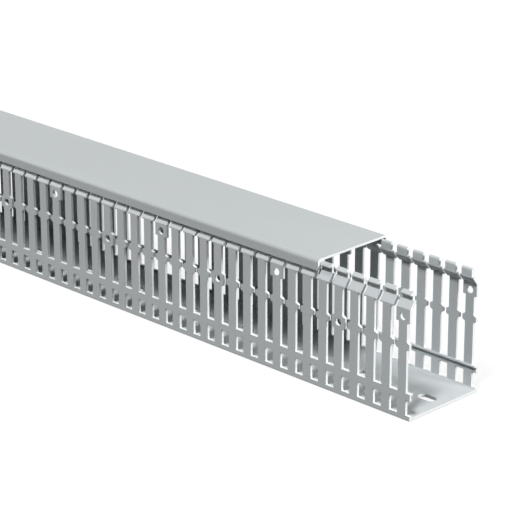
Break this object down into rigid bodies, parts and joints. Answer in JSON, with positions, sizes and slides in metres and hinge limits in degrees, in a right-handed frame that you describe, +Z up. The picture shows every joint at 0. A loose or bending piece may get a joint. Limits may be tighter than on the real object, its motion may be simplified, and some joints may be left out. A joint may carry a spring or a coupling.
{
  "type": "slotted wire duct",
  "caption": "Length of light grey slotted wiring duct: a punched U-channel with open fingers and retaining bumps, and a clip-on cover slid back from one end",
  "frame": {"origin": "centre of the duct's underside", "axes": "+X along the duct, towards the end that the cover leaves open; +Y across the duct; +Z up, from the floor to the cover"},
  "size_m": [1.0725, 0.06, 0.08],
  "materials": {
    "duct_pvc": "satin extruded PVC, light grey",
    "cover_pvc": "smooth satin extruded PVC, light grey"
  },
  "bodies": {
    "duct": {"duct": "duct_pvc"},
    "cover": {"cover": "cover_pvc"}
  },
  "joints": [
    {"name": "cover_slide", "type": "slide", "parent": "duct", "child": "cover", "axis": [1, 0, 0], "range_m": [-0.4, 0.0725]}
  ]
}
